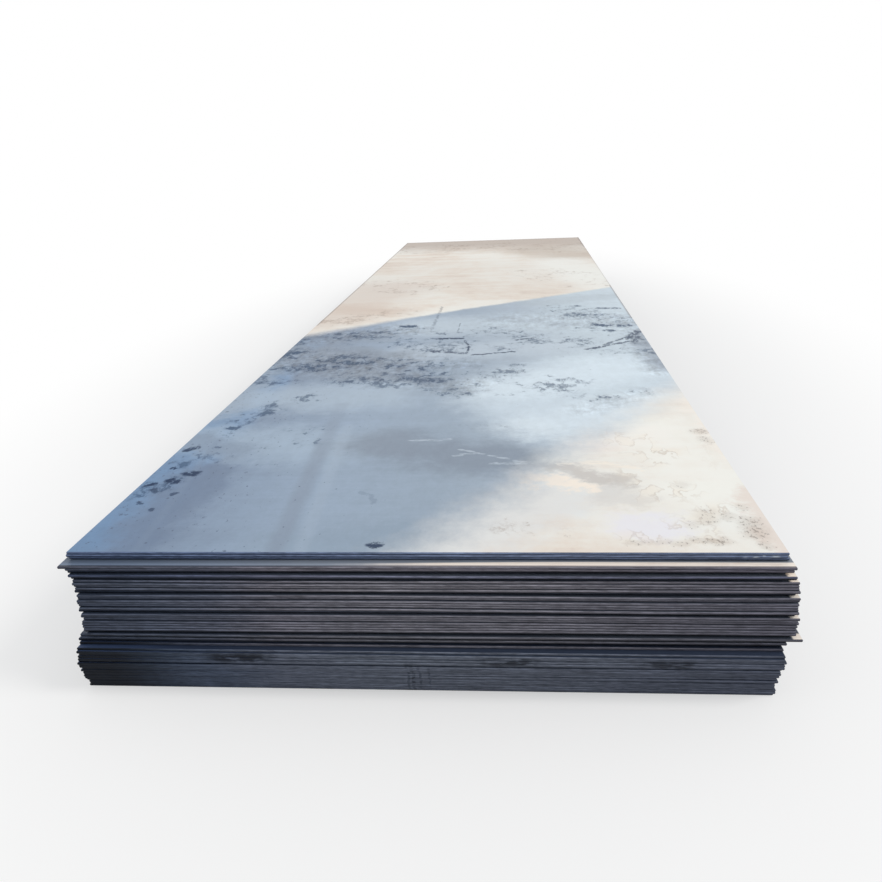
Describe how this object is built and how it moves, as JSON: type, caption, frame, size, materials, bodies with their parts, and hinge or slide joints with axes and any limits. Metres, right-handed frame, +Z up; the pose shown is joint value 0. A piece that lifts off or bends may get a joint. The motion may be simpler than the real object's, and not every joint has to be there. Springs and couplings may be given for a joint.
{
  "type": "stack of steel plates",
  "caption": "Low yard stack of loose hot-rolled steel plates, landed in lifts with staggered square-cut ends, dark slots and a broad flat scuffed top.",
  "frame": {"origin": "middle of the stack's bounding box at the level of its underside", "axes": "+Y along the plates, away from the front end that the picture shows; +Z up through the stack; +X to the right, seen from the front end"},
  "size_m": [2.0786, 8.062, 0.443],
  "materials": {
    "blue_mill_scale": "blue-grey hot-rolled mill scale, satin, scuffed and stained",
    "grey_mill_scale": "grey hot-rolled mill scale with sheared edges",
    "dark_mill_scale": "dark hot-rolled mill scale with sheared edges"
  },
  "bodies": {
    "root": {"plate_01": "dark_mill_scale", "plate_02": "dark_mill_scale", "plate_03": "dark_mill_scale", "plate_04": "dark_mill_scale", "plate_05": "dark_mill_scale", "plate_06": "dark_mill_scale", "plate_07": "dark_mill_scale", "plate_08": "dark_mill_scale", "plate_09": "dark_mill_scale", "plate_10": "dark_mill_scale", "plate_11": "dark_mill_scale", "plate_12": "dark_mill_scale", "plate_13": "dark_mill_scale", "plate_14": "dark_mill_scale", "plate_15": "dark_mill_scale", "plate_16": "dark_mill_scale", "plate_17": "dark_mill_scale", "plate_18": "dark_mill_scale", "plate_19": "dark_mill_scale", "plate_20": "dark_mill_scale", "plate_21": "dark_mill_scale", "plate_22": "grey_mill_scale", "plate_23": "grey_mill_scale", "plate_24": "grey_mill_scale", "plate_25": "grey_mill_scale", "plate_26": "grey_mill_scale", "plate_27": "grey_mill_scale", "plate_28": "grey_mill_scale", "plate_29": "grey_mill_scale", "plate_30": "grey_mill_scale", "plate_31": "grey_mill_scale", "plate_32": "grey_mill_scale", "plate_33": "grey_mill_scale", "plate_34": "grey_mill_scale", "plate_35": "grey_mill_scale", "plate_36": "grey_mill_scale", "plate_37": "grey_mill_scale", "plate_38": "grey_mill_scale", "plate_39": "grey_mill_scale", "plate_40": "grey_mill_scale", "plate_41": "grey_mill_scale", "plate_42": "grey_mill_scale", "plate_43": "grey_mill_scale", "plate_44": "grey_mill_scale", "plate_45": "grey_mill_scale", "plate_46": "grey_mill_scale", "plate_47": "grey_mill_scale", "plate_48": "grey_mill_scale", "plate_49": "blue_mill_scale", "plate_50": "blue_mill_scale", "plate_51": "blue_mill_scale", "plate_52": "blue_mill_scale"}
  },
  "joints": []
}
